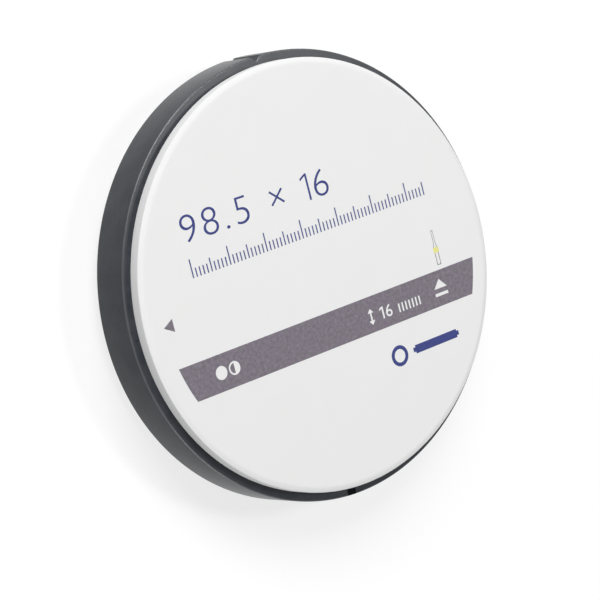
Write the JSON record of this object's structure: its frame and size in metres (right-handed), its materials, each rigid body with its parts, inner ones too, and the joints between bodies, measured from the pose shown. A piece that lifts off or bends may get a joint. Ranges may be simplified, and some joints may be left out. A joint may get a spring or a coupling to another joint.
{
  "type": "dental milling disc",
  "caption": "Round zirconia blank in a clamping ring with a V notch and a filled split, milled into crowns and bridges in a dental mill.",
  "frame": {"origin": "centre of the back face, which the disc lies on", "axes": "+Z along the disc's axis, out of the printed face; +Y from the axis through the V notch in the rim"},
  "size_m": [0.0984, 0.0984, 0.016],
  "materials": {
    "zirconia": "matt chalky white, printed in mauve on the upper face",
    "ring_plastic": "satin",
    "black_filler": "matt"
  },
  "bodies": {
    "root": {"zirconia_blank": "zirconia", "carrier_ring": "ring_plastic", "joint_filler": "black_filler"}
  },
  "joints": []
}
